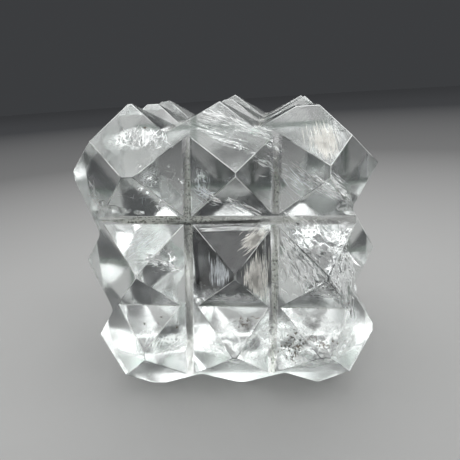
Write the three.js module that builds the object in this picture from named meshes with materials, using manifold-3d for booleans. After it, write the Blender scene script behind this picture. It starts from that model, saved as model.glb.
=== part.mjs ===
// A hand-cut cube of clear rock quartz. Twelve broad cuts take off the cube's edges, and four
// V-shaped grooves in each face leave nine four-sided pyramids on it, fifty-four in all.
// Millimetres, +Z up, the front face looks along -Y. The origin is on the surface that the
// cube rests on, under its middle.

import * as THREE from 'three';
import { mergeVertices } from 'three/addons/utils/BufferGeometryUtils.js';
import Module from 'manifold-3d';

// How far the tips of each face stand from the middle that all the cuts are measured from.
const tipReach = { front: 19.7, back: 18.95, left: 19.7, right: 19.7, top: 20.45, base: 19.7 };

// The wheel that cut the grooves.
const wheelTipRadius = 1.0;
const blunterTipRadius = 1.4;
const sharpTipRadius = 0.12;
const arcSteps = 3;

// Lengths of the cutting solids, all well past the cube.
const cutLength = 90;
const wedgeHeight = 12;
const slabThickness = 20;

// Standard cuts, which the real ones stray from by a degree or two.
const edgeAngle = 45;
const edgeReach = 22.6;
const grooveFloor = 16.2;

const X = new THREE.Vector3(1, 0, 0);
const Y = new THREE.Vector3(0, 1, 0);
const Z = new THREE.Vector3(0, 0, 1);

// Each face: which way it looks, and the two directions across it.
const faces = {
  front: { out: Y.clone().negate(), level: X, upright: Z },
  back: { out: Y, level: X, upright: Z },
  left: { out: X.clone().negate(), level: Y, upright: Z },
  right: { out: X, level: Y, upright: Z },
  top: { out: Z, level: X, upright: Y },
  base: { out: Z.clone().negate(), level: X, upright: Y },
};

// The cuts along the cube's edges. The angle turns a cut from the first face towards the
// second, and reach is its distance from the cube's middle.
const edgeCuts = [
  { between: ['front', 'top'], angle: 45.8, reach: 22.7 },
  { between: ['front', 'left'], angle: 40.6, reach: 21.95 },
  { between: ['front', 'right'], angle: 46.6, reach: 22.8 },
  { between: ['front', 'base'], angle: 38, reach: 22.6 },
  { between: ['left', 'top'], angle: 46.4, reach: 22.65 },
  { between: ['right', 'top'], angle: 44.3, reach: 22.2 },
  { between: ['left', 'base'], angle: 44.8, reach: 22.6 },
  { between: ['right', 'base'], angle: 44.8, reach: 22.55 },
  { between: ['back', 'top'], reach: 21.9 },
  { between: ['back', 'base'], reach: 22.1 },
  { between: ['back', 'left'], angle: 44, reach: 22.2 },
  { between: ['back', 'right'], angle: 46, reach: 22 },
];

// The grooves of each face. A groove runs level or upright on its face, at is its place
// across the face, floor its depth as a distance from the cube's middle, walls its two wall
// angles from the face (the lower side first), and lean its turn on the face in degrees,
// clockwise to someone who looks at the face.
const grooves = {
  front: [
    { runs: 'upright', at: -4.7, floor: 15.7, walls: [36.4, 34.3], lean: 4.4 },
    { runs: 'upright', at: 6.45, floor: 16.0, walls: [40, 32], lean: 3.1 },
    { runs: 'level', at: 5.95, floor: 15.7, walls: [36.3, 34], lean: 2.3 },
    { runs: 'level', at: -5.8, floor: 16.3, walls: [31, 33], lean: 2.6, tip: sharpTipRadius },
  ],
  top: [
    { runs: 'upright', at: -6.0, floor: 17.1, walls: [37, 26.5], tip: blunterTipRadius },
    { runs: 'upright', at: 5.6, floor: 16.9, walls: [35.6, 25.5], lean: 2.4 },
    { runs: 'level', at: -5.0, floor: 16.3, walls: [36, 36.5] },
    { runs: 'level', at: 4.9, floor: 16.7, walls: [37.5, 35] },
  ],
  left: [
    { runs: 'level', at: 4.6, floor: 16.3, walls: [38, 28.5] },
    { runs: 'level', at: -6.4, floor: 16.1, walls: [34.5, 33.5] },
    { runs: 'upright', at: -5.8, walls: [33, 34.5] },
    { runs: 'upright', at: 5.9, walls: [35, 33], lean: 1.5 },
  ],
  right: [
    { runs: 'level', at: 6.8, floor: 16.1, walls: [28.8, 39] },
    { runs: 'level', at: -4.0, floor: 16.2, walls: [28.1, 37] },
    { runs: 'upright', at: -6.0, walls: [34, 33] },
    { runs: 'upright', at: 5.5, floor: 16.3, walls: [33, 35], lean: -1.2 },
  ],
  back: [
    { runs: 'upright', at: -6, floor: 15.5, walls: [34, 35], lean: 1 },
    { runs: 'upright', at: 6.2, floor: 15.6, walls: [33, 34] },
    { runs: 'level', at: 5.9, floor: 15.4, walls: [34.5, 33.5], lean: -1.5 },
    { runs: 'level', at: -6.1, floor: 15.6, walls: [33.5, 34.5] },
  ],
  base: [
    { runs: 'upright', at: -4.5, floor: 16.5, walls: [30, 35] },
    { runs: 'upright', at: 7.2, floor: 16.4, walls: [31.5, 38.5] },
    { runs: 'level', at: -5.9, floor: 16.0, walls: [36, 36] },
    { runs: 'level', at: 5.8, floor: 16.1, walls: [35.5, 35.5] },
  ],
};

// Tips that were ground or knocked flat: a point over the tip, how high the flat is left,
// both from the cube's middle, and the size of the piece that is gone.
const bluntTips = [
  { face: 'top', at: [10.3, -12.4], leftAt: 19.0, size: 7 },
];

// Shell-shaped chips on edges and tips: a point on the surface, the way it faces, the radius
// of the scoop and how deep it bites. A scoop is a coarse ball, longer one way than the other.
const chipDetail = 1;
const chipStretch = new THREE.Vector3(1.5, 0.85, 1);
const chips = [
  { at: [-15.3, -15.8, 7.6], faces: [-0.62, -0.76, 0.2], radius: 1.8, bite: 0.5 },
  { at: [-13.7, -16.45, 8.0], faces: [0.1, -0.9, -0.3], radius: 1.3, bite: 0.28 },
  { at: [-11.9, -16.35, 7.7], faces: [-0.1, -0.9, -0.35], radius: 1.1, bite: 0.22 },
  { at: [-10.3, -16.2, 7.45], faces: [0, -0.85, -0.5], radius: 0.9, bite: 0.16 },
  { at: [16.3, -16.2, 7.6], faces: [0.66, -0.7, 0.1], radius: 1.9, bite: 0.45 },
  { at: [15.2, -16.0, 6.9], faces: [0.3, -0.9, -0.2], radius: 1.2, bite: 0.25 },
  { at: [-19.6, -7.2, 11.6], faces: [-0.95, -0.2, 0.1], radius: 1.4, bite: 0.25 },
  { at: [-19.4, 10.9, 0.4], faces: [-0.9, 0.3, 0.2], radius: 1.7, bite: 0.45 },
  { at: [19.5, 11.4, -11.2], faces: [0.9, 0.2, -0.3], radius: 1.5, bite: 0.4 },
  { at: [19.4, -0.4, 1.2], faces: [1, 0.1, 0.2], radius: 1.1, bite: 0.2 },
  { at: [-5.8, 18.5, 11.6], faces: [0.2, 0.9, 0.3], radius: 1.6, bite: 0.4 },
  { at: [11.6, 18.4, 0.5], faces: [0.3, 0.95, 0], radius: 1.3, bite: 0.3 },
  { at: [-11.2, 10.2, 20.2], faces: [-0.2, 0.3, 0.9], radius: 1.5, bite: 0.3 },
];

const wasm = await Module();
wasm.setup();

// A three.js geometry as a solid that can be cut.
function toSolid(geometry, matrix) {
  geometry.deleteAttribute('normal');
  geometry.deleteAttribute('uv');
  const merged = mergeVertices(geometry.applyMatrix4(matrix), 1e-4);
  return new wasm.Manifold(new wasm.Mesh({
    numProp: 3,
    vertProperties: merged.attributes.position.array,
    triVerts: new Uint32Array(merged.index.array),
  }));
}

// A cut solid as a three.js geometry, with flat facets.
function toGeometry(solid) {
  const mesh = solid.getMesh();
  const geometry = new THREE.BufferGeometry();
  geometry.setAttribute('position', new THREE.BufferAttribute(mesh.vertProperties, 3));
  geometry.setIndex(new THREE.BufferAttribute(mesh.triVerts, 1));
  const faceted = geometry.toNonIndexed();
  faceted.computeVertexNormals();
  return faceted;
}

// The sawn block, before its edges and grooves are cut.
function block() {
  const { front, back, left, right, top, base } = tipReach;
  const box = new THREE.BoxGeometry(left + right, front + back, base + top);
  const middle = new THREE.Vector3(right - left, back - front, top - base).divideScalar(2);
  return toSolid(box, new THREE.Matrix4().setPosition(middle));
}

// The waste beyond a flat cut along an edge of the cube.
function edgeWaste({ between, angle = edgeAngle, reach = edgeReach }) {
  const [first, second] = between.map((name) => faces[name].out);
  const turn = THREE.MathUtils.degToRad(angle);
  const normal = first.clone().multiplyScalar(Math.cos(turn)).addScaledVector(second, Math.sin(turn));
  const facing = new THREE.Quaternion().setFromUnitVectors(Z, normal);
  const place = normal.clone().multiplyScalar(reach + slabThickness / 2);
  return toSolid(
    new THREE.BoxGeometry(cutLength, cutLength, slabThickness),
    new THREE.Matrix4().compose(place, facing, new THREE.Vector3(1, 1, 1)),
  );
}

// The section of a groove: two straight walls that run into the round of the wheel's tip.
function grooveSection([lowWall, highWall], tip) {
  const low = THREE.MathUtils.degToRad(lowWall);
  const high = THREE.MathUtils.degToRad(highWall);
  // Where a wall leaves the round, and how far out it is when the wedge ends.
  const foot = (angle) => [tip * Math.sin(angle), tip * (1 - Math.cos(angle))];
  const reachOf = (angle) => foot(angle)[0] + (wedgeHeight - foot(angle)[1]) / Math.tan(angle);
  const section = new THREE.Shape();
  section.moveTo(-reachOf(low), wedgeHeight);
  section.lineTo(-foot(low)[0], foot(low)[1]);
  section.absarc(0, tip, tip, -Math.PI / 2 - low, -Math.PI / 2 + high, false);
  section.lineTo(reachOf(high), wedgeHeight);
  return section;
}

// The waste of one groove, a long wedge laid across its face.
function grooveWaste(face, { runs, at, floor = grooveFloor, walls, lean = 0, tip = wheelTipRadius }) {
  const { out, level, upright } = faces[face];
  const across = runs === 'upright' ? level : upright;
  const turn = -THREE.MathUtils.degToRad(lean);
  const along = new THREE.Vector3().crossVectors(across, out);
  const side = across.clone().applyAxisAngle(out, turn);
  along.applyAxisAngle(out, turn);
  const wedge = new THREE.ExtrudeGeometry(grooveSection(walls, tip), {
    depth: cutLength,
    steps: 1,
    bevelEnabled: false,
    curveSegments: arcSteps,
  });
  wedge.translate(0, 0, -cutLength / 2);
  const matrix = new THREE.Matrix4().makeBasis(side, out, along);
  matrix.setPosition(across.clone().multiplyScalar(at).addScaledVector(out, floor));
  return toSolid(wedge, matrix);
}

// What is gone from over a blunt tip.
function tipWaste({ face, at: [across, up], leftAt, size }) {
  const { out, level, upright } = faces[face];
  const middle = out.clone().multiplyScalar(leftAt + size / 2);
  middle.addScaledVector(level, across).addScaledVector(upright, up);
  return toSolid(new THREE.BoxGeometry(size, size, size), new THREE.Matrix4().setPosition(middle));
}

// What a chip takes out: a small rough ball that stands mostly outside the stone.
function chipWaste({ at, faces: facing, radius, bite }) {
  const outward = new THREE.Vector3(...facing).normalize();
  const middle = new THREE.Vector3(...at).addScaledVector(outward, radius - bite);
  const turn = new THREE.Quaternion().setFromUnitVectors(Z, outward);
  return toSolid(
    new THREE.IcosahedronGeometry(radius, chipDetail),
    new THREE.Matrix4().compose(middle, turn, chipStretch),
  );
}

function quartzCube() {
  const waste = [
    ...edgeCuts.map(edgeWaste),
    ...bluntTips.map(tipWaste),
    ...chips.map(chipWaste),
  ];
  for (const [face, list] of Object.entries(grooves)) {
    waste.push(...list.map((groove) => grooveWaste(face, groove)));
  }
  return waste.reduce((stone, cut) => stone.subtract(cut), block());
}

const clearQuartz = new THREE.MeshStandardMaterial({
  color: 0xdfe6e3,
  roughness: 0.04,
  metalness: 0,
});

const crystal = new THREE.Mesh(toGeometry(quartzCube()), clearQuartz);
crystal.name = 'quartz_crystal';
crystal.position.set(
  (tipReach.left - tipReach.right) / 2,
  (tipReach.front - tipReach.back) / 2,
  tipReach.base,
);

const model = new THREE.Group();
model.add(crystal);

export default model;
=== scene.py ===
import math
import random

import bmesh
import bpy
from mathutils import Matrix, Vector, noise
from mathutils.bvhtree import BVHTree


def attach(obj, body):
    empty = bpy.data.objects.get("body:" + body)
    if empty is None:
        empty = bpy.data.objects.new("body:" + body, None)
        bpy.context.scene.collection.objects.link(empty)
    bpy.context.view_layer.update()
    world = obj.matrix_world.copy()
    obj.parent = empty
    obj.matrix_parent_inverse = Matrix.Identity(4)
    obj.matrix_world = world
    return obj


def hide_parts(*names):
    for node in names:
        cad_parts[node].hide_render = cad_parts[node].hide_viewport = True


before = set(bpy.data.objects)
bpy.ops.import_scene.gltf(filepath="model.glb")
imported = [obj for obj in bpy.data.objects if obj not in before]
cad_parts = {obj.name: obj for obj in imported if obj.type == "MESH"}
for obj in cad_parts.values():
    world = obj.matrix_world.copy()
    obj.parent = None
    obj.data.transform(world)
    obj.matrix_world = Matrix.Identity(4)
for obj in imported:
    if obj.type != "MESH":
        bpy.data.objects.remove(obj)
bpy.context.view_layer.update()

# A hand-cut cube of clear rock quartz, on a pale studio floor. Lengths in the dictionaries
# are in millimetres, in the part's own frame: +Z up, the front face looks along -Y.

mm = 0.001
scene = bpy.context.scene


def point(x, y, z):
    return Vector((x, y, z)) * mm


def addToScene(name, data):
    made = bpy.data.objects.new(name, data)
    scene.collection.objects.link(made)
    return made


def shell(name, points, faces, materials):
    # a mesh object from plain lists
    mesh = bpy.data.meshes.new(name)
    mesh.from_pydata(points, [], faces)
    for material in materials:
        mesh.materials.append(material)
    return addToScene(name, mesh)


class Wire:
    # one output of a node, which can stand in a sum

    def __init__(self, board, socket):
        self.board = board
        self.socket = socket

    def math(self, operation, first, second):
        settings = {"operation": operation}
        return self.board.node("ShaderNodeMath", settings, {0: first, 1: second})

    def __add__(self, other):
        return self.math("ADD", self, other)

    def __radd__(self, other):
        return self.math("ADD", other, self)

    def __sub__(self, other):
        return self.math("SUBTRACT", self, other)

    def __rsub__(self, other):
        return self.math("SUBTRACT", other, self)

    def __mul__(self, other):
        return self.math("MULTIPLY", self, other)

    def __rmul__(self, other):
        return self.math("MULTIPLY", other, self)


class Board:
    # the nodes of one material or of the world

    def __init__(self, owner):
        owner.use_nodes = True
        self.owner = owner
        self.tree = owner.node_tree
        self.tree.nodes.clear()

    def node(self, kind, settings=None, values=None, output=0):
        made = self.tree.nodes.new(kind)
        for name, value in (settings or {}).items():
            if name == "stops":
                self.setStops(made.color_ramp, list(value))
            else:
                setattr(made, name, value)
        for name, value in (values or {}).items():
            if isinstance(value, Wire):
                self.tree.links.new(value.socket, made.inputs[name])
            else:
                made.inputs[name].default_value = value
        return Wire(self, made.outputs[output]) if len(made.outputs) else None

    def setStops(self, ramp, stops):
        while len(ramp.elements) < len(stops):
            ramp.elements.new(1.0)
        for element, (place, colour) in zip(ramp.elements, stops):
            element.position = place
            element.color = (*colour, 1.0)

    def marks(self):
        # the grain of a piece: x runs along its cutting marks, y across them
        return self.node("ShaderNodeAttribute", {"attribute_name": "grain"}, output="Vector")

    def grain(self, along, across):
        scale = {"operation": "MULTIPLY"}
        return self.node("ShaderNodeVectorMath", scale, {0: self.marks(), 1: (along, across, 0.0)})

    def place(self):
        return self.node("ShaderNodeTexCoord", output="Object")

    def part(self, vector, axis):
        return self.node("ShaderNodeSeparateXYZ", {}, {0: vector}, axis)

    def away(self, place):
        # how far each point of the piece is from a place
        values = {0: self.place(), 1: place}
        return self.node("ShaderNodeVectorMath", {"operation": "DISTANCE"}, values, "Value")

    def facing(self, way):
        return self.node("ShaderNodeCombineXYZ", {}, dict(enumerate(way)))

    def noise(self, plan, where=None):
        # a plan is the noise's scale and, where they matter, detail, roughness and distortion
        values = dict(zip(("Scale", "Detail", "Roughness", "Distortion"), plan))
        values["Vector"] = where or self.place()
        return self.node("ShaderNodeTexNoise", {}, values)

    def between(self, value, low, high, start=0.0, end=1.0):
        # a value between low and high as a share from start to end
        values = {"Value": value, "From Min": low, "From Max": high}
        values |= {"To Min": start, "To Max": end}
        return self.node("ShaderNodeMapRange", {}, values)

    def colour(self, value, stops):
        return self.node("ShaderNodeValToRGB", {"stops": stops}, {"Fac": value}, "Color")

    def mixed(self, share, first, second):
        # sockets 6 and 7 are a colour Mix node's two colours, and 2 is its colour output
        values = {0: share, 6: first, 7: second}
        return self.node("ShaderNodeMix", {"data_type": "RGBA"}, values, 2)

    def bump(self, height, distance, under=None):
        values = {"Height": height, "Distance": distance}
        if under is not None:
            values["Normal"] = under
        return self.node("ShaderNodeBump", {}, values)

    def surfaced(self, values, volume=None):
        # ends a material with its shader, and gives the material back
        ends = {"Surface": self.node("ShaderNodeBsdfPrincipled", {}, values)}
        if volume is not None:
            ends["Volume"] = volume
        self.node("ShaderNodeOutputMaterial", {}, ends)
        return self.owner


cameraSetup = {
    "place": (6.258, -69.893, 41.479),
    "turn": 5.548,
    "down": 17.447,
    "roll": -3.847,
    "lens": 35.685,
    "sensor": 36.0,
    "nearest": 1.0,
}


def makeCamera(setup):
    turn, down, roll = (math.radians(setup[name]) for name in ("turn", "down", "roll"))
    level = Vector((math.cos(turn), math.sin(turn), 0.0))
    forward = Vector((-math.sin(turn), math.cos(turn), 0.0))
    ahead = forward * math.cos(down) - Vector((0.0, 0.0, math.sin(down)))
    upright = level.cross(ahead)
    right = math.cos(roll) * level + math.sin(roll) * upright
    up = math.cos(roll) * upright - math.sin(roll) * level
    data = bpy.data.cameras.new("studioCamera")
    data.lens = setup["lens"]
    data.sensor_width = setup["sensor"]
    data.clip_start = setup["nearest"] * mm
    camera = addToScene("studioCamera", data)
    axes = Matrix((right, up, -ahead)).transposed().to_4x4()
    camera.matrix_world = Matrix.Translation(point(*setup["place"])) @ axes
    scene.camera = camera


makeCamera(cameraSetup)
print("camera set")


studio = {
    "floorRadius": 1500.0,
    "floorSides": 96,
    "floorDrop": 0.02,
    # the floor's colours paint a pool of light, pale near the stone and dark far from it
    "paleFloor": (0.27, 0.27, 0.266),
    "farFloor": (0.033, 0.034, 0.036),
    "halfWay": (0.32, (0.10, 0.10, 0.10)),
    "floorRoughness": 0.7,
    "paleWithin": 35.0,
    "farBeyond": 620.0,
    "wallColour": (0.045, 0.047, 0.05),
    "wallTop": 0.44,
    "tentBottom": 0.70,
    "tentColour": (1.65, 1.66, 1.67),
    "boxesAround": (0.0, 0.0, 20.0),
}

# Soft boxes: the way each one lies from the stone (azimuth from behind the stone towards its
# right, height above the floor, both in degrees), its two sides and how bright it is.
softBoxes = [
    {"name": "frontBox", "azimuth": 178, "height": 35, "size": (620, 320), "bright": 2.8},
    {"name": "backBox", "azimuth": 0, "height": 54, "size": (1000, 420), "bright": 2.3},
    {"name": "leftBox", "azimuth": -75, "height": 30, "size": (900, 380), "bright": 1.7},
    {"name": "rightBox", "azimuth": 112, "height": 50, "size": (700, 420), "bright": 2.6},
]
boxesAway = 900


def floorMaterial():
    board = Board(bpy.data.materials.new("paleFloor"))
    # a painted pool of light: the floor's colour is pale around the stone and fades into the dark
    # room
    away = board.away((0.0, 0.0, 0.0))
    fade = board.between(away, studio["paleWithin"] * mm, studio["farBeyond"] * mm)
    share, shade = studio["halfWay"]
    shades = [(0.0, studio["paleFloor"]), (share, shade), (1.0, studio["farFloor"])]
    values = {
        "Base Color": board.colour(fade, shades),
        "Roughness": studio["floorRoughness"],
        "Specular IOR Level": 0.0,
    }
    return board.surfaced(values)


def makeFloor():
    sides, radius = studio["floorSides"], studio["floorRadius"]
    turns = [math.tau * i / sides for i in range(sides)]
    drop = -studio["floorDrop"]
    rim = [point(radius * math.cos(turn), radius * math.sin(turn), drop) for turn in turns]
    floor = shell("studioFloor", rim, [tuple(range(sides))], [floorMaterial()])


def makeRoom():
    # dark walls under a white tent
    world = bpy.data.worlds.new("studioRoom")
    board = Board(world)
    way = board.node("ShaderNodeTexCoord", output="Generated")
    height = board.part(way, "Z")
    wall = (studio["wallTop"], studio["wallColour"])
    tent = (studio["tentBottom"], studio["tentColour"])
    shade = board.colour(height, [wall, tent])
    background = board.node("ShaderNodeBackground", {}, {"Color": shade})
    board.node("ShaderNodeOutputWorld", {}, {"Surface": background})
    scene.world = world


def makeSoftBox(box):
    azimuth, height = math.radians(box["azimuth"]), math.radians(box["height"])
    level = Vector((math.sin(azimuth), math.cos(azimuth), 0.0))
    way = level * math.cos(height) + Vector((0.0, 0.0, math.sin(height)))
    light = bpy.data.lights.new(box["name"], "AREA")
    light.shape = "RECTANGLE"
    light.size, light.size_y = box["size"][0] * mm, box["size"][1] * mm
    light.energy = box["bright"] * math.pi * light.size * light.size_y
    placed = addToScene(box["name"], light)
    placed.location = way * boxesAway * mm + point(*studio["boxesAround"])
    placed.rotation_mode = "QUATERNION"
    placed.rotation_quaternion = way.to_track_quat("Z", "Y")


makeFloor()
makeRoom()
for box in softBoxes:
    makeSoftBox(box)
scene.view_settings.view_transform = "Standard"
scene.cycles.max_bounces = 32
scene.cycles.transmission_bounces = 32
scene.cycles.glossy_bounces = 16
scene.cycles.transparent_max_bounces = 32
print("studio set:", len(softBoxes), "soft boxes")


# In the finishes a noise is a plan for the board. A run is how quickly the noise changes along
# and across the cutting marks, and a range is which of its values count as none and all.
clearFinish = {
    "colour": (0.975, 0.99, 0.985),
    "ior": 1.544,
    "tint": (0.90, 0.95, 0.93),
    "tintDensity": 6.0,
    "polishedRoughness": 0.115,
    "dullRoughness": 0.22,
    "footRoughness": 0.19,
    "foot": (4.0, 17.0),
    "waves": (130.0, 1.0),
    "waveHeight": 0.14,
    "ripples": (420.0, 2.0),
    "rippleHeight": 0.02,
    "marks": (2600.0, 3.0, 0.6),
    "markRun": (0.02, 1.0),
    "markRange": (0.4, 0.65),
    "markHeight": 0.010,
    "patches": (190.0, 3.0, 0.6, 0.4),
    "patchRange": (0.44, 0.66),
    "scratches": (3600.0, 2.0, 0.5, 0.1),
    "scratchRun": (0.03, 1.0),
    "scratchHeight": 0.024,
    "wander": 2.0,
}

# where the wheel left the facets scored: the place, how far it reaches whole, and its end
scoredPatches = [
    ((-0.3, -17.9, 19.2), 1.38, 2.3),
    ((4.3, -17.0, 17.8), 1.56, 2.6),
    ((12.9, -16.6, 34.3), 1.38, 2.3),
    ((-9.6, -17.4, 23.0), 1.56, 2.6),
    ((2.2, -14.6, 36.2), 1.44, 2.4),
]


def clearQuartz(look):
    board = Board(bpy.data.materials.new("clearQuartz"))
    # slow waves of hand polishing, and fine marks along each cut
    waves = board.noise(look["waves"])
    ripples = board.noise(look["ripples"])
    marks = board.noise(look["marks"], board.grain(*look["markRun"]))
    patches = board.noise(look["patches"])
    patches = board.between(patches, *look["patchRange"])
    dull = patches * board.between(marks, *look["markRange"])
    # the foot has been set down and handled, so its polish is milkier
    height = board.part(board.place(), "Z")
    low, high = (value * mm for value in look["foot"])
    wander = (ripples - 0.5) * look["wander"] * mm
    foot = board.between(height + wander, low, high, 1.0, 0.0)
    polished = look["polishedRoughness"]
    roughness = polished + dull * (look["dullRoughness"] - polished)
    roughness = roughness + foot * (look["footRoughness"] - polished)
    wavy = board.bump(waves, look["waveHeight"] * mm)
    rippled = board.bump(ripples, look["rippleHeight"] * mm, wavy)
    marked = board.bump(marks * patches, look["markHeight"] * mm, rippled)
    scratches = board.noise(look["scratches"], board.grain(*look["scratchRun"]))
    scored = 0.0
    for place, whole, reach in scoredPatches:
        away = board.away(point(*place)) + wander
        scored = board.between(away, whole * mm, reach * mm, 1.0, 0.0) + scored
    marked = board.bump(scratches * scored, look["scratchHeight"] * mm, marked)
    values = {
        "Base Color": (*look["colour"], 1.0),
        "Roughness": roughness,
        "IOR": look["ior"],
        "Transmission Weight": 1.0,
        "Normal": marked,
    }
    tint = {"Color": (*look["tint"], 1.0), "Density": look["tintDensity"]}
    return board.surfaced(values, board.node("ShaderNodeVolumeAbsorption", {}, tint))


groundFinish = {
    "ior": 1.544,
    "clear": (0.95, 0.97, 0.96),
    "mist": (0.70, 0.74, 0.66),
    "speck": (0.012, 0.015, 0.008),
    "clearness": 0.95,
    "shiny": 0.13,
    "rough": 0.30,
    "middle": (0.062, 0.09),
    "scores": (5200.0, 3.0, 0.65),
    "scoreRun": (0.04, 1.0),
    "scoreHeight": 0.03,
    "pits": (3600.0, 2.0, 0.7),
    "pitHeight": 0.03,
    "smears": (900.0, 2.0),
    "smearRun": (0.4, 1.0),
    "smearing": 0.10,
    "wear": (140.0, 2.0),
    "wearRange": (0.36, 0.62, 0.6, 1.0),
    "speckShares": (0.3, 0.7, 0.3),
    "speckRange": (0.52, 0.56),
}


def groundQuartz(look):
    # the wheel's speckled track in the bottom of a groove, which ends softly at its sides
    board = Board(bpy.data.materials.new("groundQuartz"))
    scores = board.noise(look["scores"], board.grain(*look["scoreRun"]))
    pits = board.noise(look["pits"])
    smears = board.noise(look["smears"], board.grain(*look["smearRun"])) - 0.5
    wear = board.between(board.noise(look["wear"]), *look["wearRange"])
    tilt = board.part(board.marks(), "Z")
    track = board.between(tilt + smears * look["smearing"], *look["middle"], 1.0, 0.0) * wear
    scoreShare, pitShare, smearShare = look["speckShares"]
    specks = scores * scoreShare + pits * pitShare + smears * smearShare
    specks = board.between(specks, *look["speckRange"])
    mist = board.mixed(track, (*look["clear"], 1.0), (*look["mist"], 1.0))
    scored = board.bump(scores, look["scoreHeight"] * mm)
    values = {
        "Base Color": board.mixed(specks * track, mist, (*look["speck"], 1.0)),
        "Roughness": look["shiny"] + track * (look["rough"] - look["shiny"]),
        "IOR": look["ior"],
        "Transmission Weight": look["clearness"],
        "Normal": board.bump(pits, look["pitHeight"] * mm, scored),
    }
    return board.surfaced(values)


# painted highlight and painted shade on the ridges, and their worn nicks
ridgeShadeAndWearFinish = {
    "white": (0.96, 0.98, 0.97),
    "dark": (0.06, 0.065, 0.065),
    "ior": 1.544,
    "clearness": 0.3,
    "shiny": 0.12,
    "dull": 0.4,
    "ridgeLightAndShade": (210.0, 2.0),
    "ridgeLightAndShadeRange": (0.40, 0.54),
    "nicks": (900.0, 3.0, 0.6),
    "nickRange": (0.4, 0.65),
}


def ridgeShadeAndWear(look):
    # the rounded ridges, white in places and dark in others: painted highlight and painted shade,
    # with nicks of wear in their roughness
    board = Board(bpy.data.materials.new("ridgeShadeAndWear"))
    ridgeLightAndShade = board.noise(look["ridgeLightAndShade"])
    shades = zip(look["ridgeLightAndShadeRange"], (look["dark"], look["white"]))
    nicks = board.between(board.noise(look["nicks"]), *look["nickRange"])
    values = {
        "Base Color": board.colour(ridgeLightAndShade, shades),
        "Roughness": look["shiny"] + nicks * (look["dull"] - look["shiny"]),
        "IOR": look["ior"],
        "Transmission Weight": look["clearness"],
    }
    return board.surfaced(values)


cubeCut = {
    "weld": 0.04,
    "shortest": 0.001,
    "flatWithin": 0.4,
    "ridgeAngle": 24.0,
    "ridgeShortest": 0.3,
    "ridgeRound": 0.065,
    "ridgeSteps": 2,
    "grooveAngle": 24.4,
    "roundAngles": (3.0, 20.0),
    "roundShortest": 0.3,
    "outside": 18.0,
    "middle": (0.0, 0.375, 19.7),
    "squareWithin": 0.1,
}


# the scooped chips: where they are from the cube's middle, and how wide
chips = [
    ((-15.3, -15.8, 7.6), 1.6),
    ((-13.7, -16.4, 8.0), 0.9),
    ((-11.9, -16.3, 7.7), 0.8),
    ((-10.3, -16.2, 7.4), 0.7),
    ((16.3, -16.2, 7.6), 1.6),
    ((15.2, -16.0, 6.9), 1.0),
]


def chipped(centre):
    return any((centre - point(*place)).length < width * mm for place, width in chips)


def liesInGroove(face, middle):
    # the narrow strips that make up the round bottom of a groove
    centre = face.calc_center_median() - middle
    if max(abs(value) for value in centre) > cubeCut["outside"] * mm:
        return False
    if chipped(centre):
        return False
    steepest = max(abs(value) for value in face.normal)
    if steepest > math.cos(math.radians(cubeCut["grooveAngle"])):
        return True
    low, high = (math.radians(angle) for angle in cubeCut["roundAngles"])
    rounds = 0
    for edge in face.edges:
        hollow = -edge.calc_face_angle_signed() if edge.is_manifold else 0.0
        if low < hollow < high and edge.calc_length() > cubeCut["roundShortest"] * mm:
            rounds += 1
    return rounds > 1


def cutFaces(node):
    # the solid's facets as whole polygons, its ridges a little rounded by polishing
    board = bmesh.new()
    board.from_mesh(node.data)
    bmesh.ops.remove_doubles(board, verts=board.verts, dist=cubeCut["weld"] * mm)
    bmesh.ops.dissolve_degenerate(board, dist=cubeCut["shortest"] * mm, edges=board.edges)
    flat = math.radians(cubeCut["flatWithin"])
    bmesh.ops.dissolve_limit(board, angle_limit=flat, verts=board.verts, edges=board.edges)
    middle = point(*cubeCut["middle"])
    for face in board.faces:
        face.material_index = int(liesInGroove(face, middle))
    sharp = math.radians(cubeCut["ridgeAngle"])
    ridges = [
        edge
        for edge in board.edges
        if edge.is_manifold
        and edge.calc_length() > cubeCut["ridgeShortest"] * mm
        and edge.calc_face_angle_signed() > sharp
        and not chipped((edge.verts[0].co + edge.verts[1].co) / 2 - middle)
    ]
    # the rounded ridges take the third material, whose white and dark are painted highlight and
    # painted shade
    bmesh.ops.bevel(
        board,
        geom=ridges,
        offset=cubeCut["ridgeRound"] * mm,
        offset_type="OFFSET",
        segments=cubeCut["ridgeSteps"],
        profile=0.5,
        affect="EDGES",
        clamp_overlap=False,
        material=2,
    )
    return board


def layGrain(mesh, frames):
    # each corner's place along and across the cutting marks of its facet, in metres, and how
    # far the surface has turned there from the groove's bottom
    grain = mesh.attributes.new("grain", "FLOAT_VECTOR", "CORNER")
    for polygon in mesh.polygons:
        along, across = frames(polygon)
        for loop in polygon.loop_indices:
            corner = mesh.vertices[mesh.loops[loop].vertex_index]
            turned = 1.0 - max(abs(value) for value in corner.normal)
            grain.data[loop].vector = (corner.co.dot(along), corner.co.dot(across), turned)


def cutMarks(polygon):
    # the wheel ran along the groove, level in the facet and in the cube's face; a facet that
    # faces straight out takes a way along the cube
    normal = polygon.normal
    size = [abs(value) for value in normal]
    out = Vector([1.0 if i == size.index(max(size)) else 0.0 for i in range(3)])
    along = out.cross(normal)
    if along.length < cubeCut["squareWithin"]:
        along = Vector((out.y, out.z, out.x))
    along.normalize()
    return along, normal.cross(along)


def makeCube(node, clear, ground, paintedRidges):
    board = cutFaces(node)
    mesh = bpy.data.meshes.new("quartzCube")
    board.to_mesh(mesh)
    board.free()
    for name in ("custom_normal", "sharp_edge", "sharp_face"):
        if name in mesh.attributes:
            mesh.attributes.remove(mesh.attributes[name])
    for material in (clear, ground, paintedRidges):
        mesh.materials.append(material)
    for polygon in mesh.polygons:
        polygon.use_smooth = polygon.material_index == 1
    layGrain(mesh, cutMarks)
    cube = addToScene("quartzCube", mesh)
    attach(cube, "root")
    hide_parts("quartz_crystal")
    return cube


cube = makeCube(
    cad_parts["quartz_crystal"],
    clearQuartz(clearFinish),
    groundQuartz(groundFinish),
    ridgeShadeAndWear(ridgeShadeAndWearFinish),
)
print("cube cut:", len(cube.data.polygons), "facets")


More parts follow.
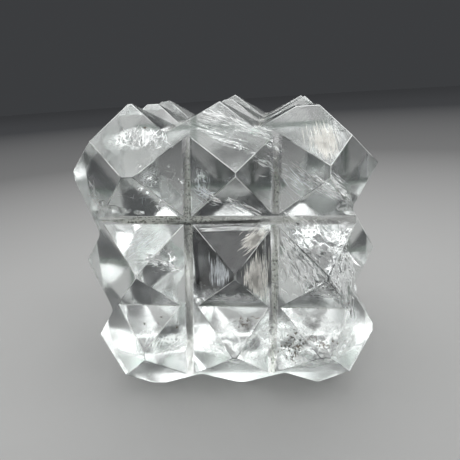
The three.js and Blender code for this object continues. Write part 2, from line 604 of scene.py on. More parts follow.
crackFinish = {
    "white": (1.0, 1.0, 1.0),
    "dark": (0.10, 0.11, 0.11),
    "roughness": 0.22,
    "curls": (420.0, 3.0, 0.55, 0.6),
    "lip": 0.035,
    "patches": (330.0, 2.0, 0.6),
    "patchRange": (0.40, 0.60),
    "specks": (2600.0, 2.0),
    "speckCover": 0.5,
    "relief": (900.0, 2.0),
    "reliefHeight": 0.10,
}

veilFinish = {
    "white": (1.0, 1.0, 1.0),
    "dark": (0.12, 0.13, 0.13),
    "roughness": 0.25,
    "curls": (1.0, 4.0, 0.6, 0.3),
    "run": (1.6, 9.0),
    "lip": 0.04,
    "patches": (330.0, 2.0, 0.6),
    "patchRange": (0.40, 0.60),
    "specks": (3000.0, 2.0),
    "speckCover": 0.55,
    "relief": (700.0, 2.0),
    "reliefHeight": 0.12,
}

# hair-thin parallel lines
streakFinish = veilFinish | {
    "white": (1.0, 0.99, 0.96),
    "dark": (0.45, 0.46, 0.46),
    "scales": (0.0, -0.71, 0.70),
    "run": (0.5, 9.0),
    "lip": 0.07,
    "patches": (500.0, 2.0, 0.6),
    "speckCover": 0.15,
    "reliefHeight": 0.05,
}

milkFinish = {
    "white": (0.98, 0.99, 0.98),
    "dark": (0.75, 0.78, 0.77),
    "roughness": 0.4,
    "scales": (0.0, -0.71, 0.70),
    "curls": (550.0, 3.0, 0.55, 0.6),
    "lip": 0.10,
    "patches": (300.0, 2.0, 0.6),
    "patchRange": (0.30, 0.50),
    "specks": (2600.0, 2.0),
    "speckCover": 0.5,
    "relief": (1300.0, 2.0),
    "reliefHeight": 0.08,
}

# thicker curls, much swirled
swirlFinish = milkFinish | {
    "white": (1.0, 1.0, 1.0),
    "dark": (0.30, 0.32, 0.32),
    "roughness": 0.25,
    "curls": (330.0, 3.0, 0.55, 2.6),
    "lip": 0.09,
    "patches": (260.0, 2.0, 0.6),
    "speckCover": 0.45,
}

crackRim = (0.55, 1.0)
crackSpecks = (0.52, 0.66)
# the parts of a lip's width that are covered whole, dark with painted shade on one side and white
# on the other
lipWhole, lipPaintedShade, lipWhite = 0.3, 0.5, 0.3


def healedCrack(name, look):
    # a sheet of air films and tiny bubbles: curls with a white lip and a dark lip of painted
    # shade, and specks between them; grain runs from -1 to 1 over the sheet, and z is 1 at its rim
    board = Board(bpy.data.materials.new(name))
    rim = board.part(board.marks(), "Z")
    over = board.grain(*look["run"]) if "run" in look else None
    curls = board.noise(look["curls"], over)
    lip = look["lip"]
    off = board.node("ShaderNodeMath", {"operation": "ABSOLUTE"}, {0: curls - 0.5})
    lips = board.between(off, lip * lipWhole, lip, 1.0, 0.0)
    specks = board.between(board.noise(look["specks"]), *crackSpecks)
    patches = board.noise(look["patches"])
    patches = board.between(patches, *look["patchRange"])
    inside = patches * board.between(rim, *crackRim, 1.0, 0.0)
    cover = (lips + specks * look["speckCover"] * (1 - lips)) * inside
    side = board.between(curls, 0.5 - lip * lipPaintedShade, 0.5 + lip * lipWhite)
    relief = board.noise(look["relief"])
    # a milky film is made of small scales, which lie this way whatever way the film goes
    scales = board.facing(look["scales"]) if "scales" in look else None
    values = {
        "Base Color": board.colour(side, [(0.0, look["dark"]), (0.5, look["white"])]),
        "Roughness": look["roughness"],
        "Metallic": 1.0,
        "Alpha": cover,
        "Normal": board.bump(relief, look["reliefHeight"] * mm, scales),
    }
    return board.surfaced(values)


# painted shade: small dark spots
shadeFinish = {
    "dark": (0.07, 0.08, 0.075),
    "light": (0.10, 0.11, 0.105),
    "roughness": 0.6,
    "cover": 0.62,
    "torn": 1.2,
    "fade": (0.25, 1.0),
}

# painted shade: the darker zone behind the middle pyramid, and the dark strips around it
deepShadeFinish = {
    "dark": (0.012, 0.012, 0.015),
    "light": (0.14, 0.14, 0.15),
    "roughness": 0.6,
    "cover": 0.9,
    "torn": 0.4,
    "fade": (0.72, 1.0),
}

# painted shade too: a paler zone of the same kind
paleShadeFinish = {
    "dark": (0.07, 0.075, 0.075),
    "light": (0.16, 0.165, 0.165),
    "roughness": 0.6,
    "cover": 0.7,
    "torn": 0.9,
    "fade": (0.35, 1.0),
}

# the torn rim and the bands of the painted shade
shadeRimTear = (1500.0, 3.0, 0.6)
shadeBands = {"noise": (240.0, 1.0, 0.5, 0.8), "range": (0.42, 0.62)}


def paintedShadeSheet(name, look):
    # a soft zone of painted shade, torn at its rim
    board = Board(bpy.data.materials.new(name))
    rim = board.part(board.marks(), "Z")
    torn = rim + (board.noise(shadeRimTear) - 0.5) * look["torn"]
    bands = board.noise(shadeBands["noise"])
    shades = zip(shadeBands["range"], (look["dark"], look["light"]))
    values = {
        "Base Color": board.colour(bands, shades),
        "Roughness": look["roughness"],
        "Alpha": board.between(torn, *look["fade"], look["cover"], 0.0),
    }
    return board.surfaced(values)


# the lips of small cracks, which flash white or dark
featherFinish = {
    "shades": ((0.16, 0.17, 0.17), (1.0, 1.0, 1.0)),
    "flecks": (700.0, 2.0),
    "fleckRange": (0.35, 0.39),
    "roughness": 0.3,
    "metallic": 0.6,
}

ironFinish = {
    "shades": ((0.04, 0.038, 0.032), (0.17, 0.125, 0.08)),
    "flecks": (1400.0, 3.0),
    "fleckRange": (0.40, 0.62),
    "roughness": 0.55,
}

# the burred lips of scores, which catch the light from above: each colour of score, and the
# way its burrs face; the pale colours are partly a painted highlight, and shadow is painted shade
scoreFinishes = {
    "cool": {"colour": (0.76, 0.81, 0.84), "burr": (0.0, -0.8, 0.6)},
    "cream": {"colour": (0.86, 0.845, 0.785), "burr": (0.0, -0.8, 0.6)},
    "bright": {"colour": (0.97, 0.99, 0.98), "burr": (0.0, -0.8, 0.6)},
    "low": {"colour": (0.90, 0.92, 0.92), "burr": (0.0, -1.0, 0.1)},
    "shadow": {"colour": (0.10, 0.11, 0.11), "burr": (0.0, -0.8, 0.6)},
}
burrFinish = {"flecks": (1200.0, 2.0), "fleckRange": (0.35, 0.5), "roughness": 0.5}
burrDim = 0.75


def flecked(name, look):
    # one shade in small flecks on another
    board = Board(bpy.data.materials.new(name))
    flecks = board.noise(look["flecks"])
    values = {
        "Base Color": board.colour(flecks, zip(look["fleckRange"], look["shades"])),
        "Roughness": look["roughness"],
    }
    if "metallic" in look:
        values["Metallic"] = look["metallic"]
    if "burr" in look:
        values["Normal"] = board.facing(look["burr"])
    return board.surfaced(values)


def burred(name, look):
    dimmer = [burrDim * value for value in look["colour"]]
    shades = {"shades": (dimmer, look["colour"]), "burr": look["burr"]}
    return flecked(name, burrFinish | shades)


skin = BVHTree.FromPolygons(
    [corner.co for corner in cube.data.vertices],
    [polygon.vertices for polygon in cube.data.polygons],
)
skinDepth = 0.12


def sealedIn(place):
    # whether a place lies in the stone, a little under its skin
    nearest, normal, _, away = skin.find_nearest(place)
    return away > skinDepth * mm and (place - nearest).dot(normal) < 0


def spreadGrain(mesh, places):
    grain = mesh.attributes.new("grain", "FLOAT_VECTOR", "POINT")
    for item, place in zip(grain.data, places):
        item.vector = place


def finishPiece(piece):
    for polygon in piece.data.polygons:
        polygon.use_smooth = True
    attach(piece, "root")


def axesOf(piece):
    # along the piece, across it, and towards the side it faces
    along = Vector(piece["along"]).normalized()
    facing = Vector(piece["facing"])
    facing = (facing - along * facing.dot(along)).normalized()
    return along, facing.cross(along), facing


# Healed cracks and sheets of painted shade: broad sheets that wander through the stone. Size
# is along and across, bow is how far the sheet leaves its plane. Many share a level run, the way
# they face and their bow.
levelSheet = {"along": (1, 0, 0), "facing": (0, -0.6, 0.8), "bow": 0.6}
sheets = [
    {"name": "rightVeil", "at": (12.2, -15.9, 30), "along": (7.2, 0.6, -4.9),
     "facing": (0.15, -0.9, 0.75), "size": (12, 3.4), "bow": 0.5, "seed": 3, "finish": "veil"},
    {"name": "longVeil", "at": (5, -13.4, 33.6), "along": (8, -1.2, -3.4),
     "facing": (0.1, -0.8, 0.75), "size": (21, 4.5), "bow": 0.7, "seed": 37, "finish": "veil"},
    {"name": "topVeil", "at": (3, -12.8, 36.6), "along": (8, -3, -2.2), "size": (11, 3),
     "bow": 0.4, "seed": 38, "finish": "veil"},
    {"name": "rightCloudNear", "at": (11.2, -15.4, 20.6), "along": (6, 0.6, -7),
     "facing": (0.2, -0.7, 0.7), "size": (12.5, 7), "bow": 0.9, "seed": 5, "finish": "crack"},
    {"name": "edgeVeil", "at": (14.8, -14.6, 15.6), "along": (2.5, 1.4, -9),
     "facing": (0.5, -1, 0.1), "size": (14, 3.6), "bow": 0.7, "seed": 39, "finish": "veil"},
    {"name": "cornerCloud", "at": (-10.4, -13.4, 35.4), "along": (5, 0.3, 0.6),
     "facing": (0.1, -0.75, 0.7), "size": (7, 4), "bow": 0.7, "seed": 12, "finish": "milk"},
    {"name": "lowerCloud", "at": (8.4, -13.9, 9.8), "size": (13, 5.5), "seed": 17,
     "finish": "milk"},
    {"name": "lowerCloudUnder", "at": (8, -13.8, 6.2), "size": (13, 5), "seed": 60,
     "finish": "milk"},
    {"name": "lowerRightCloud", "at": (13.2, -13.6, 7.6), "along": (1, 0.3, 0), "size": (8, 6),
     "seed": 18, "finish": "milk"},
    {"name": "lowerLeftCloud", "at": (-9.6, -13.6, 8), "size": (7.5, 4), "seed": 23,
     "finish": "milk"},
    {"name": "lowerMiddleCloud", "at": (0.2, -13.8, 8), "size": (9.5, 6.5), "seed": 62,
     "finish": "milk"},
    {"name": "leftCloud", "at": (-9.6, -15, 21.6), "along": (5, 0, -3.4),
     "facing": (-0.2, -1, 0.2), "size": (9, 5), "bow": 0.8, "seed": 29, "finish": "crack"},
    {"name": "upperLeftCloud", "at": (-7, -13.2, 30.4), "along": (4, 0.4, -5),
     "facing": (0.2, -1, 0.1), "size": (9, 6), "bow": 1, "seed": 33, "finish": "crack"},
    {"name": "heartVeil", "at": (-2, 1, 21), "along": (6, 4, -5), "facing": (0.5, -1, 0.3),
     "size": (22, 12), "bow": 1.8, "seed": 31, "finish": "crack"},
    {"name": "backVeil", "at": (4, 9, 24), "along": (7, 1, 4), "facing": (0.2, -1, 0.5),
     "size": (20, 12), "bow": 2, "seed": 35, "finish": "veil"},
    {"name": "footVeil", "at": (-3, 4, 9), "along": (7, 2, 1), "facing": (0.1, -0.6, 1),
     "size": (22, 13), "bow": 1.6, "seed": 36, "finish": "crack"},
    # painted shade: a dark zone behind the middle pyramid
    {"name": "middleDeepShade", "at": (0.5, -14.7, 20.3), "facing": (0, -1, 0), "size": (10.4, 10.4),
     "bow": 0.25, "seed": 53, "finish": "smoke"},
    {"name": "middleFootCloud", "at": (1.3, -16.14, 15.67), "facing": (-0.02, -0.84, -0.54),
     "size": (7.4, 2.6), "bow": 0.1, "seed": 68, "finish": "milk"},
    {"name": "swirlRight", "at": (13.75, -17.25, 20.4), "along": (0, 0, 1),
     "facing": (0.73, -0.69, 0), "size": (10, 5.6), "bow": 0.15, "seed": 72, "finish": "swirl"},
    {"name": "swirlTop", "at": (12.6, -15.75, 23.05), "facing": (0.02, -0.81, 0.59),
     "size": (10, 5.4), "bow": 0.15, "seed": 73, "finish": "swirl"},
    {"name": "swirlFoot", "at": (12.4, -17.5, 17), "facing": (-0.02, -0.84, -0.54),
     "size": (9, 4.4), "bow": 0.15, "seed": 74, "finish": "swirl"},
    # painted shade: paler grey zones over the upper middle facets
    {"name": "topPaleShade", "at": (2, -13.2, 32.2), "facing": (0, -1, 0.6), "size": (9, 5), "bow": 0.3,
     "seed": 70, "finish": "haze"},
    {"name": "upperPaleShade", "at": (1.2, -14.3, 28.6), "facing": (0, -1, 0.2), "size": (8.6, 4.4),
     "bow": 0.3, "seed": 63, "finish": "haze"},
    {"name": "bevelStreaks", "at": (12.8, -16.5, 34.5), "along": (0.1, -0.72, -0.7),
     "facing": (0, -0.7, 0.72), "size": (5.4, 4), "bow": 0.03, "seed": 56, "finish": "streak"},
    # painted shade: dark strips beside the middle pyramid and under the level groove
    {"name": "leftShadeStrip", "at": (-3.5, -15.2, 20.4), "along": (0, 0, 1), "facing": (-0.3, -1, 0),
     "size": (9.5, 0.8), "bow": 0.05, "seed": 57, "finish": "smoke"},
    {"name": "rightShadeStrip", "at": (5.5, -15.2, 20.2), "along": (0, 0, 1), "facing": (0.3, -1, 0),
     "size": (9, 1), "bow": 0.05, "seed": 58, "finish": "smoke"},
    {"name": "levelShadeStrip", "at": (-0.6, -14.9, 25.2), "facing": (0, -1, 0.3), "size": (14.5, 0.5),
     "bow": 0.05, "seed": 59, "finish": "smoke"},
    # painted shade: small dark spots
    {"name": "ovalShade", "at": (11.3, -16, 11), "along": (1, 0, 0.1), "facing": (0, -1, 0.4),
     "size": (3, 1.5), "bow": 0.1, "seed": 50, "finish": "shade"},
    {"name": "cornerShade", "at": (-9.3, -16.6, 11), "along": (1, 0, -0.2), "facing": (0, -1, 0.4),
     "size": (2.1, 1.6), "bow": 0.1, "seed": 51, "finish": "shade"},
    {"name": "middleShade", "at": (2.6, -16.1, 10.8), "along": (1, 0, 0.3), "facing": (0, -1, 0.4),
     "size": (3.4, 1.6), "bow": 0.1, "seed": 52, "finish": "shade"},
]
sheetSteps = 26
squareFinishes = ("smoke", "streak")
roundPower, squarePower = 2, 8
# three layers of noise, each how often it changes over a sheet and where it is sampled
sheetWaves = {
    "swell": (1.3, 0.3),
    "ruffle": (4.0, 2.3),
    "ruffled": 0.25,
    "tear": (2.5, 7.0),
    "torn": 0.25,
    "rim": 0.92,
    "seedStep": 1.7,
}


def rimShare(u, v, piece):
    # 1 at the rim of a round sheet, or of a nearly square one
    power = squarePower if piece["finish"] in squareFinishes else roundPower
    return (abs(u) ** power + abs(v) ** power) ** (1 / power)


def makeSheet(piece, finishes):
    along, across, facing = axesOf(piece)
    length, width = (value * mm / 2 for value in piece["size"])
    noise.seed_set(piece["seed"])
    shift = Vector((piece["seed"] * sheetWaves["seedStep"], 0.0, 0.0))

    def wave(kind, u, v):
        often, layer = sheetWaves[kind]
        return noise.noise(Vector((u * often, v * often, layer)) + shift)

    points, places, faces = [], [], []
    for i in range(sheetSteps + 1):
        for j in range(sheetSteps + 1):
            u, v = 2 * i / sheetSteps - 1, 2 * j / sheetSteps - 1
            ruffle = wave("ruffle", u, v) * sheetWaves["ruffled"]
            lift = (wave("swell", u, v) + ruffle) * piece["bow"] * mm
            centre = point(*piece["at"])
            points.append(centre + along * u * length + across * v * width + facing * lift)
            places.append((u, v, rimShare(u, v, piece)))
    row = sheetSteps + 1
    for i in range(sheetSteps):
        for j in range(sheetSteps):
            u, v = (2 * i + 1) / sheetSteps - 1, (2 * j + 1) / sheetSteps - 1
            rim = sheetWaves["rim"] + wave("tear", u, v) * sheetWaves["torn"]
            first = i * row + j
            corners = (first, first + 1, first + row + 1, first + row)
            inside = rimShare(u, v, piece) < rim
            if inside and all(sealedIn(points[corner]) for corner in corners):
                faces.append(corners)
    sheet = shell(piece["name"], points, faces, [finishes[piece["finish"]]])
    spreadGrain(sheet.data, places)
    finishPiece(sheet)


# Feathers: swarms of small curved slivers. Spread is the swarm's size along, across and into
# the stone, fan how far the slivers turn from its run, bend how strongly they curl. Most
# swarms face up and forward.
upwardSwarm = {"facing": (0, -0.62, 0.78)}
feathers = [
    {"name": "cornerFeathers", "at": (-9.1, -14.2, 36), "along": (0.35, 0.6, 0.75),
     "facing": (0.1, -0.62, 0.78), "spread": (2, 5.4, 0.8), "count": 110, "length": (0.5, 1.6),
     "width": (0.05, 0.17), "fan": 60, "bend": 0.5, "seed": 2},
    {"name": "veilFeathers", "at": (12, -16.2, 30.2), "along": (7.2, 0.8, -4.9),
     "facing": (0.15, -0.62, 0.78), "spread": (10.5, 1.5, 0.8), "count": 120, "length": (0.4, 1.6),
     "width": (0.04, 0.13), "fan": 16, "bend": 0.15, "seed": 4},
    {"name": "veilRibbons", "at": (12.4, -16, 29.9), "along": (7.2, 0.8, -4.9),
     "facing": (0.15, -0.62, 0.78), "spread": (8.5, 1.5, 0.6), "count": 30, "length": (1.8, 4.6),
     "width": (0.06, 0.2), "fan": 7, "bend": 0.08, "seed": 24},
    {"name": "cloudFeathers", "at": (11, -16.2, 20.4), "along": (5, 0.4, -6.5),
     "facing": (0.1, -0.5, 0.86), "spread": (11, 7.5, 2), "count": 260, "length": (0.4, 1.8),
     "width": (0.04, 0.14), "fan": 45, "bend": 0.5, "seed": 6},
    {"name": "cloudRibbons", "at": (10.8, -16.2, 20.4), "along": (5, 0.4, -6),
     "facing": (0.1, -0.5, 0.86), "spread": (9, 9, 2), "count": 150, "length": (1.6, 5),
     "width": (0.1, 0.6), "fan": 22, "bend": 0.35, "seed": 26},
    {"name": "edgeRibbons", "at": (14.7, -15.6, 16.4), "along": (2.2, 1.2, -8.6),
     "facing": (0.4, -0.62, 0.78), "spread": (9, 2, 0.8), "count": 34, "length": (1.2, 4),
     "width": (0.06, 0.3), "fan": 12, "bend": 0.25, "seed": 27},
    {"name": "hatchFeathers", "at": (-1.2, -15.9, 28.8), "along": (1, 0.2, -0.5),
     "spread": (1.8, 3.6, 0.5), "count": 60, "length": (0.8, 1.9), "width": (0.06, 0.16),
     "fan": 26, "bend": 0.8, "seed": 9},
    {"name": "centreFeathers", "at": (2.9, -15.8, 27.6), "along": (3.4, 1, -2.3),
     "spread": (4.6, 1.4, 0.6), "count": 46, "length": (0.5, 1.9), "width": (0.05, 0.14),
     "fan": 26, "bend": 0.3, "seed": 11},
    {"name": "topFeathers", "at": (2.6, -13.3, 36.9), "along": (6, -2.6, -2.4),
     "spread": (9, 2.2, 0.8), "count": 90, "length": (0.4, 2.4), "width": (0.04, 0.12), "fan": 18,
     "bend": 0.2, "seed": 14},
    {"name": "middleFeathers", "at": (6.4, -15.9, 31.4), "along": (4, 0.6, -2.2),
     "facing": (-0.2, -0.62, 0.78), "spread": (4, 4.4, 0.8), "count": 46, "length": (0.4, 1.8),
     "width": (0.04, 0.12), "fan": 18, "bend": 0.2, "seed": 15},
    {"name": "leftFeathers", "at": (-8, -16, 20.2), "along": (2.9, 1.2, -1.6),
     "facing": (-0.3, -0.62, 0.78), "spread": (4, 1.8, 0.6), "count": 50, "length": (0.4, 1.8),
     "width": (0.05, 0.15), "fan": 30, "bend": 0.5, "seed": 19},
    {"name": "leftDashes", "at": (-11.2, -16.6, 29.7), "along": (1, 0.2, -0.25),
     "spread": (2, 0.5, 0.2), "count": 5, "length": (0.6, 1.1), "width": (0.11, 0.16), "fan": 6,
     "bend": 0.1, "seed": 28},
    {"name": "cheekFeathers", "at": (-15.9, -13.6, 29.4), "along": (0.8, -0.6, -2.2),
     "facing": (-0.7, -0.62, 0.78), "spread": (3.6, 1.8, 0.8), "count": 40, "length": (0.4, 1.4),
     "width": (0.05, 0.16), "fan": 40, "bend": 0.4, "seed": 30},
    {"name": "lowerFeathers", "at": (7.6, -15.9, 9.4), "along": (4, 0.2, -1.2),
     "spread": (7, 3.2, 1), "count": 70, "length": (0.3, 1.3), "width": (0.05, 0.16), "fan": 80,
     "bend": 0.6, "seed": 21},
]
sliverSteps = 6
sliverTip = 0.02
sliverTaper = 0.8
swarmScatter = 0.45
fanScatter = 0.6
sliverTilt = 0.55


def curvedRibbon(chance, piece, middle, run, side, flat):
    # the two edges of a curved ribbon that narrows to both ends, in pairs of points
    length = chance.uniform(*piece["length"]) * mm
    half = chance.uniform(*piece["width"]) * mm / 2
    bend = chance.gauss(0, 1) * piece["bend"] * length
    ribbon = []
    for i in range(sliverSteps + 1):
        share = i / sliverSteps
        here = middle + run * length * (share - 0.5) + side * bend * (share - 0.5) ** 2
        taper = math.sin(math.pi * (sliverTip + (1 - 2 * sliverTip) * share)) ** sliverTaper
        ribbon += [here - flat * half * taper, here + flat * half * taper]
    return ribbon


def makeRibbons(piece, ribbons, material):
    points, faces = [], []
    for ribbon in ribbons:
        lows = [len(points) + 2 * i for i in range(sliverSteps)]
        faces += [(low, low + 1, low + 3, low + 2) for low in lows]
        points += ribbon
    finishPiece(shell(piece["name"], points, faces, [material]))


def makeFeathers(piece, finish):
    along, across, facing = axesOf(piece)
    chance = random.Random(piece["seed"])
    reach, breadth, depth = (value * mm / 2 for value in piece["spread"])
    ribbons = []
    for _ in range(piece["count"]):
        start = point(*piece["at"])
        start += along * chance.uniform(-1, 1) * reach
        start += across * chance.gauss(0, swarmScatter) * breadth
        start += facing * chance.uniform(-1, 1) * depth
        turn = math.radians(chance.gauss(0, fanScatter) * piece["fan"])
        run = along * math.cos(turn) + across * math.sin(turn)
        side = across * math.cos(turn) - along * math.sin(turn)
        tilt = chance.uniform(-sliverTilt, sliverTilt)
        flat = side * math.cos(tilt) + facing * math.sin(tilt)
        ribbon = curvedRibbon(chance, piece, start, run, side, flat)
        if all(sealedIn(place) for place in ribbon):
            ribbons.append(ribbon)
    makeRibbons(piece, ribbons, finish)


# Scores: hair-thin lines that the wheel left on some facets, which show white, partly as a painted
# highlight; the shadow scores are painted shade. Spread is how far they reach along and across the
# facet.
scores = [
    {"name": "coolScores", "at": (0, -18.35, 19.6), "along": (0.05, 0, 1), "spread": (3.4, 3.6),
     "count": 320, "length": (0.7, 2.4), "width": (0.02, 0.06), "fan": 1.5, "bend": 0.01,
     "seed": 81, "finish": "cool"},
    {"name": "creamScores", "at": (3.9, -17.4, 18), "along": (0, 0, 1), "spread": (6, 3.8),
     "count": 650, "length": (0.8, 2.8), "width": (0.02, 0.09), "fan": 1.5, "bend": 0.01,
     "seed": 82, "finish": "cream"},
    {"name": "bevelScores", "at": (12.7, -16.7, 34.7), "along": (0.08, -0.7, -0.7),
     "spread": (4.2, 3.2), "count": 280, "length": (0.8, 3), "width": (0.02, 0.06), "fan": 1.5,
     "bend": 0.01, "seed": 83, "finish": "cream"},
    {"name": "creamWedge", "at": (4.2, -16.7, 23.3), "along": (1, 0, 0.9), "spread": (2.8, 2),
     "count": 360, "length": (0.4, 1.4), "width": (0.03, 0.10), "fan": 3, "bend": 0.03, "seed": 95,
     "finish": "cream"},
    {"name": "whiteWedge", "at": (1.3, -15.85, 24.55), "along": (1, 0, 0), "spread": (8.4, 0.5),
     "count": 70, "length": (1, 4), "width": (0.03, 0.1), "fan": 0.5, "bend": 0, "seed": 96,
     "finish": "bright"},
    {"name": "middleFootScores", "at": (1.27, -16.81, 15.24), "along": (1, 0, 0),
     "spread": (6, 1.8), "count": 90, "length": (0.8, 3), "width": (0.03, 0.12), "fan": 1.5,
     "bend": 0.02, "seed": 97, "finish": "low"},
    {"name": "rightFootScores", "at": (12.43, -18.05, 16.65), "along": (1, 0, -0.2),
     "spread": (7, 2.6), "count": 90, "length": (0.8, 2.8), "width": (0.03, 0.16), "fan": 14,
     "bend": 0.3, "seed": 98, "finish": "low"},
    {"name": "ironScribbles", "at": (8.3, -17.05, 7.9), "along": (1, 0, 0.8), "spread": (4.2, 2.6),
     "count": 46, "length": (0.3, 0.9), "width": (0.05, 0.15), "fan": 90, "bend": 1, "seed": 99,
     "finish": "iron"},
    {"name": "ironHooks", "at": (11.5, -18.15, 9.6), "along": (1, 0, -0.4), "spread": (3.2, 1),
     "count": 9, "length": (0.5, 1), "width": (0.06, 0.12), "fan": 90, "bend": 1, "seed": 100,
     "finish": "iron"},
    {"name": "ironCorner", "at": (2.5, -17, 12.1), "along": (1, 0, 0.5), "spread": (3, 1),
     "count": 14, "length": (0.3, 0.9), "width": (0.05, 0.14), "fan": 70, "bend": 0.8, "seed": 101,
     "finish": "iron"},
    {"name": "hatchScores", "at": (-10.2, -16.2, 23.8), "along": (1, 0, 0.9), "spread": (4, 3.6),
     "count": 46, "length": (0.8, 2.6), "width": (0.02, 0.05), "fan": 5, "bend": 0.12, "seed": 84,
     "finish": "cool"},
    {"name": "upperScores", "at": (-2.2, -16.6, 30.6), "along": (0, 0.1, 1), "spread": (3.6, 2.6),
     "count": 30, "length": (0.5, 1.8), "width": (0.02, 0.05), "fan": 4, "bend": 0.1, "seed": 85,
     "finish": "cool"},
    {"name": "swirlScores", "at": (9.5, -17.3, 20.6), "along": (1, 0, -1.2), "spread": (9, 7.5),
     "count": 300, "length": (0.8, 3.4), "width": (0.04, 0.2), "fan": 22, "bend": 0.35, "seed": 86,
     "finish": "bright"},
    # painted shade: dark strokes beside the white scores
    {"name": "swirlShadows", "at": (9.5, -17.3, 20.6), "along": (1, 0, -1.2), "spread": (9, 7.5),
     "count": 42, "length": (0.8, 2.6), "width": (0.05, 0.16), "fan": 22, "bend": 0.35, "seed": 92,
     "finish": "shadow"},
    {"name": "curledStrokes", "at": (-1.6, -16.7, 29.3), "along": (1, 0, -0.3),
     "spread": (2.6, 3.2), "count": 30, "length": (0.7, 1.8), "width": (0.06, 0.16), "fan": 12,
     "bend": 0.8, "seed": 90, "finish": "cool"},
    {"name": "combStrokes", "at": (2.3, -16.4, 27.4), "along": (1, 0, -0.5), "spread": (3, 1.6),
     "count": 16, "length": (0.5, 1.5), "width": (0.05, 0.13), "fan": 22, "bend": 0.3, "seed": 91,
     "finish": "cool"},
    {"name": "leftStrokes", "at": (-8.2, -17.4, 29.4), "along": (1, 0, 0.7), "spread": (3.4, 2.6),
     "count": 26, "length": (0.5, 1.8), "width": (0.03, 0.10), "fan": 24, "bend": 0.6, "seed": 88,
     "finish": "cool"},
    {"name": "rightStrokes", "at": (9.6, -16.4, 29.6), "along": (1, 0, -0.6), "spread": (5, 3.4),
     "count": 34, "length": (0.6, 2.6), "width": (0.03, 0.10), "fan": 10, "bend": 0.15, "seed": 89,
     "finish": "cool"},
    {"name": "cheekScores", "at": (14.6, -17.4, 18.4), "along": (0.4, 0, -1.2),
     "spread": (8.5, 4.6), "count": 170, "length": (0.5, 2.4), "width": (0.04, 0.2), "fan": 20,
     "bend": 0.35, "seed": 87, "finish": "bright"},
    # painted shade: dark strokes beside the white scores
    {"name": "cheekShadows", "at": (14.2, -17.7, 19.6), "along": (0.4, 0, -1.2),
     "spread": (6.5, 4), "count": 20, "length": (0.5, 1.8), "width": (0.04, 0.15), "fan": 20,
     "bend": 0.35, "seed": 93, "finish": "shadow"},
]
scoreLift = 0.008
scoreScatter = 0.5
sameFacet = 0.999


def onFacet(place, normal):
    _, facing, _, away = skin.find_nearest(place)
    return away < 2 * scoreLift * mm and facing.dot(normal) > sameFacet


def makeScores(piece, finishes):
    start, normal, _, _ = skin.find_nearest(point(*piece["at"]))
    along = Vector(piece["along"])
    along = (along - normal * along.dot(normal)).normalized()
    across = normal.cross(along)
    chance = random.Random(piece["seed"])
    reach, breadth = (value * mm / 2 for value in piece["spread"])
    ribbons = []
    for _ in range(piece["count"]):
        centre = start + normal * scoreLift * mm
        centre += along * chance.gauss(0, scoreScatter) * reach
        centre += across * chance.gauss(0, scoreScatter) * breadth
        turn = math.radians(chance.gauss(0, 1) * piece["fan"])
        run = along * math.cos(turn) + across * math.sin(turn)
        side = normal.cross(run)
        ribbon = curvedRibbon(chance, piece, centre, run, side, side)
        if all(onFacet(place, normal) for place in ribbon):
            ribbons.append(ribbon)
    makeRibbons(piece, ribbons, finishes[piece["finish"]])


# Iron stains: flattened grains, and two small rings.
stains = [
    {"name": "lowerStain", "at": (8.9, -16.2, 8.9), "spread": (5.6, 0.8, 2.4), "count": 56,
     "radius": (0.04, 0.2), "seed": 41},
    {"name": "cornerStain", "at": (-8.9, -13.2, 37), "spread": (1, 0.3, 0.5), "count": 6,
     "radius": (0.07, 0.2), "seed": 42},
    {"name": "leftStain", "at": (-8.8, -15.7, 11.2), "spread": (3.6, 0.5, 2.4), "count": 10,
     "radius": (0.05, 0.18), "seed": 43},
    {"name": "middleStain", "at": (2, -15.9, 11.5), "spread": (3.4, 0.5, 1.4), "count": 16,
     "radius": (0.06, 0.2), "seed": 44},
]
stainRings = {
    "name": "stainRings",
    "places": [(10.9, -16.9, 9.6), (12.6, -17.6, 8.7)],
    "radius": 0.36,
    "thick": 0.06,
    "sweep": 290,
    "steps": 14,
    "sides": 6,
    "apart": 2.0,
}
stainGrain = {
    "sides": 7,
    "rows": 4,
    "scatter": 0.32,
    "flat": (0.25, 0.7),
    "rough": (0.65, 1.3),
}


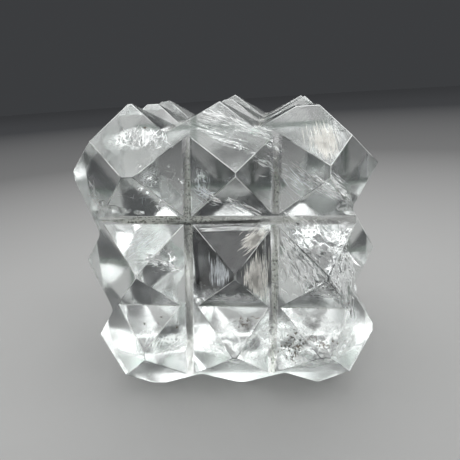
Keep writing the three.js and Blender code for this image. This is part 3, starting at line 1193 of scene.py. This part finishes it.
def makeStain(piece, finish):
    chance = random.Random(piece["seed"])
    sides, rows, scatter = (stainGrain[name] for name in ("sides", "rows", "scatter"))
    points, faces = [], []
    for _ in range(piece["count"]):
        reaches = zip(piece["at"], piece["spread"])
        centre = Vector([at + chance.gauss(0, scatter) * reach for at, reach in reaches])
        if not sealedIn(centre * mm):
            continue
        radius = chance.uniform(*piece["radius"])
        flat = chance.uniform(*stainGrain["flat"])
        angle = chance.uniform(0, math.tau)
        axis = Vector((chance.gauss(0, 1), chance.gauss(0, 1), 1))
        spin = Matrix.Rotation(angle, 3, axis)
        first = len(points)
        for row in range(rows + 1):
            lift = math.pi * (0.5 + row) / (rows + 1)
            out, up = math.sin(lift), math.cos(lift) * flat
            for side in range(sides):
                turn = math.tau * side / sides
                rough = radius * chance.uniform(*stainGrain["rough"])
                here = Vector((math.cos(turn) * out, math.sin(turn) * out, up))
                points.append((centre + spin @ here * rough) * mm)
        for row in range(rows):
            for side in range(sides):
                low = first + row * sides + side
                beside = first + row * sides + (side + 1) % sides
                faces.append((low, low + sides, beside + sides, beside))
        faces.append(tuple(first + side for side in range(sides)))
        faces.append(tuple(first + rows * sides + side for side in reversed(range(sides))))
    stain = shell(piece["name"], points, faces, [finish])
    finishPiece(stain)


def makeRings(piece, finish):
    steps, sides = piece["steps"], piece["sides"]
    points, faces = [], []
    for index, centre in enumerate(piece["places"]):
        first = len(points)
        for step in range(steps + 1):
            angle = math.radians(piece["sweep"]) * step / steps + index * piece["apart"]
            out = Vector((math.cos(angle), 0.0, math.sin(angle)))
            for side in range(sides):
                turn = math.tau * side / sides
                away = out * (piece["radius"] + piece["thick"] * math.cos(turn))
                away.y += piece["thick"] * math.sin(turn)
                points.append((Vector(centre) + away) * mm)
        for step in range(steps):
            for side in range(sides):
                low = first + step * sides + side
                beside = first + step * sides + (side + 1) % sides
                faces.append((low, beside, beside + sides, low + sides))
    rings = shell(piece["name"], points, faces, [finish])
    finishPiece(rings)


crackAndShadeFinishes = {
    "crack": healedCrack("healedCrack", crackFinish),
    "veil": healedCrack("streakyVeil", veilFinish),
    "streak": healedCrack("hairStreaks", streakFinish),
    "milk": healedCrack("milkyVeil", milkFinish),
    "swirl": healedCrack("milkySwirl", swirlFinish),
    "shade": paintedShadeSheet("paintedShadeSpot", shadeFinish),
    "smoke": paintedShadeSheet("paintedDeepShade", deepShadeFinish),
    "haze": paintedShadeSheet("paintedPaleShade", paleShadeFinish),
}
for piece in sheets:
    makeSheet(levelSheet | piece, crackAndShadeFinishes)
edgeFinish = flecked("featherEdge", featherFinish)
for piece in feathers:
    makeFeathers(upwardSwarm | piece, edgeFinish)
stainFinish = flecked("ironStain", ironFinish)
scoreMaterials = {name: burred(name + "Score", look) for name, look in scoreFinishes.items()}
scoreMaterials["iron"] = stainFinish
for piece in scores:
    makeScores(piece, scoreMaterials)
for piece in stains:
    makeStain(piece, stainFinish)
makeRings(stainRings, stainFinish)
print("sealed in:", len(sheets), "sheets,", len(feathers), "feathers,", len(stains), "stains")
print("drawn on the facets:", len(scores), "groups of scores")
